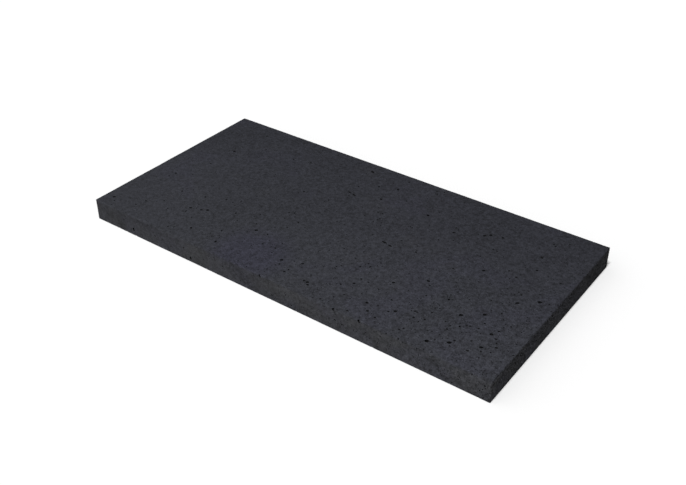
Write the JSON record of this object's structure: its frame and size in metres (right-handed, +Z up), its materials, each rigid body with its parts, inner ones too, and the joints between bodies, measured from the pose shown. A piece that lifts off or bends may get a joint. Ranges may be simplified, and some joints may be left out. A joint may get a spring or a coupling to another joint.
{
  "type": "basalt massage stone",
  "caption": "Flat rectangular slab of sawn, honed basalt with crisp eased edges and fine open pores, laid on the body warm or cold as a massage stone.",
  "frame": {"origin": "centre of the underside, the face that the slab rests on", "axes": "+X along the 200 mm length, +Y across the 100 mm width from front to back, +Z up through the 10 mm thickness"},
  "size_m": [0.2, 0.1, 0.01],
  "materials": {
    "basalt": "matte"
  },
  "bodies": {
    "root": {"basalt_slab": "basalt"}
  },
  "joints": []
}
